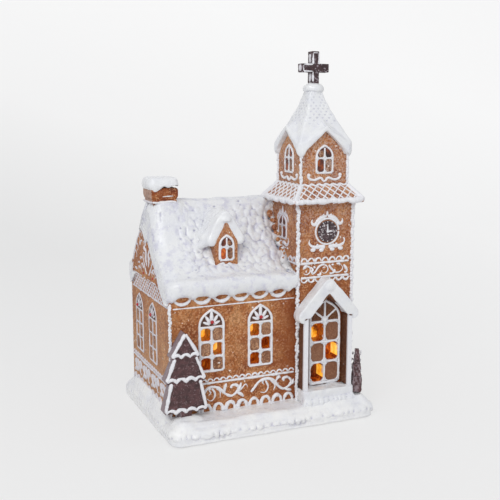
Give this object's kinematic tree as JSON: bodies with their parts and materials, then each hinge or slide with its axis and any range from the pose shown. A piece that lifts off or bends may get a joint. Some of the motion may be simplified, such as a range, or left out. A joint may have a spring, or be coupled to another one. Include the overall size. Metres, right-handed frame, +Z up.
{
  "type": "lit gingerbread church ornament",
  "caption": "Table-top gingerbread church with snow roofs, piped icing, bell tower, porch and trees, lit from inside by cells in a bay in its base.",
  "frame": {"origin": "centre of the underside, on the surface that the part stands on", "axes": "+X to the right along the front, +Y from front to back, +Z up"},
  "size_m": [0.1908, 0.158, 0.32],
  "materials": {
    "gingerbread": "matt cast resin with a sugar grain",
    "snow": "glossy white glaze with fine glitter",
    "icing": "glossy white piped icing",
    "chocolate": "dark chocolate brown cast resin",
    "amber": "translucent amber sheet",
    "berry": "glossy red bead",
    "black_plastic": "fine moulded grain",
    "white_plastic": "satin moulded",
    "bulb": "clear warm lens",
    "steel": "bright plated",
    "felt": "dark felt",
    "cell": "printed sleeve, no lettering",
    "board": "green solder mask",
    "wire": "red insulation"
  },
  "bodies": {
    "house": {"base_plinth": "snow", "base_pads": "felt", "base_cover": "black_plastic", "cover_screws": "steel", "battery_tray": "black_plastic", "battery_cells": "cell", "battery_contacts": "steel", "switch_housing": "white_plastic", "timer_board": "board", "light_posts": "white_plastic", "light_bulbs": "bulb", "light_wires": "wire", "nave_walls": "gingerbread", "nave_glazing": "amber", "nave_roof": "snow", "front_window_icing": "icing", "gable_window_icing": "icing", "back_window_icing": "icing", "eave_swags": "icing", "sill_scallops": "icing", "foot_scallops": "icing", "vine_scrolls": "icing", "gable_lattice": "icing", "gable_scrolls": "icing", "icing_berries": "berry", "nave_corner_beads": "icing", "dormer_walls": "gingerbread", "dormer_roof": "snow", "dormer_window_icing": "icing", "chimney_stack": "gingerbread", "chimney_snow": "snow", "tower_walls": "gingerbread", "tower_corner_beads": "icing", "tower_scallops": "icing", "tower_scrolls": "icing", "tower_window_icing": "icing", "clock_dial": "chocolate", "clock_rim": "icing", "clock_hands": "icing", "skirt_roof": "gingerbread", "skirt_icing": "icing", "skirt_lattice": "icing", "belfry_walls": "gingerbread", "belfry_window_icing": "icing", "belfry_scrolls": "icing", "spire_roof": "snow", "spire_cap": "snow", "spire_cross": "chocolate", "porch_walls": "gingerbread", "porch_pillars": "icing", "porch_roof": "snow", "door_frame": "icing", "door_glazing": "amber", "porch_step": "snow", "front_tree": "chocolate", "front_tree_icing": "icing", "side_tree": "chocolate", "side_tree_icing": "icing"},
    "battery_door": {"battery_door": "black_plastic"},
    "switch_slider": {"switch_slider": "white_plastic"}
  },
  "joints": [
    {"name": "battery_door_hinge", "type": "hinge", "parent": "house", "child": "battery_door", "pos_m": [-0.02598, 0.01416, 0.0024], "axis": [1, 0, 0], "range_deg": [0, 100]},
    {"name": "switch_slide", "type": "slide", "parent": "house", "child": "switch_slider", "axis": [1, 0, 0], "range_m": [0, 0.004]}
  ]
}
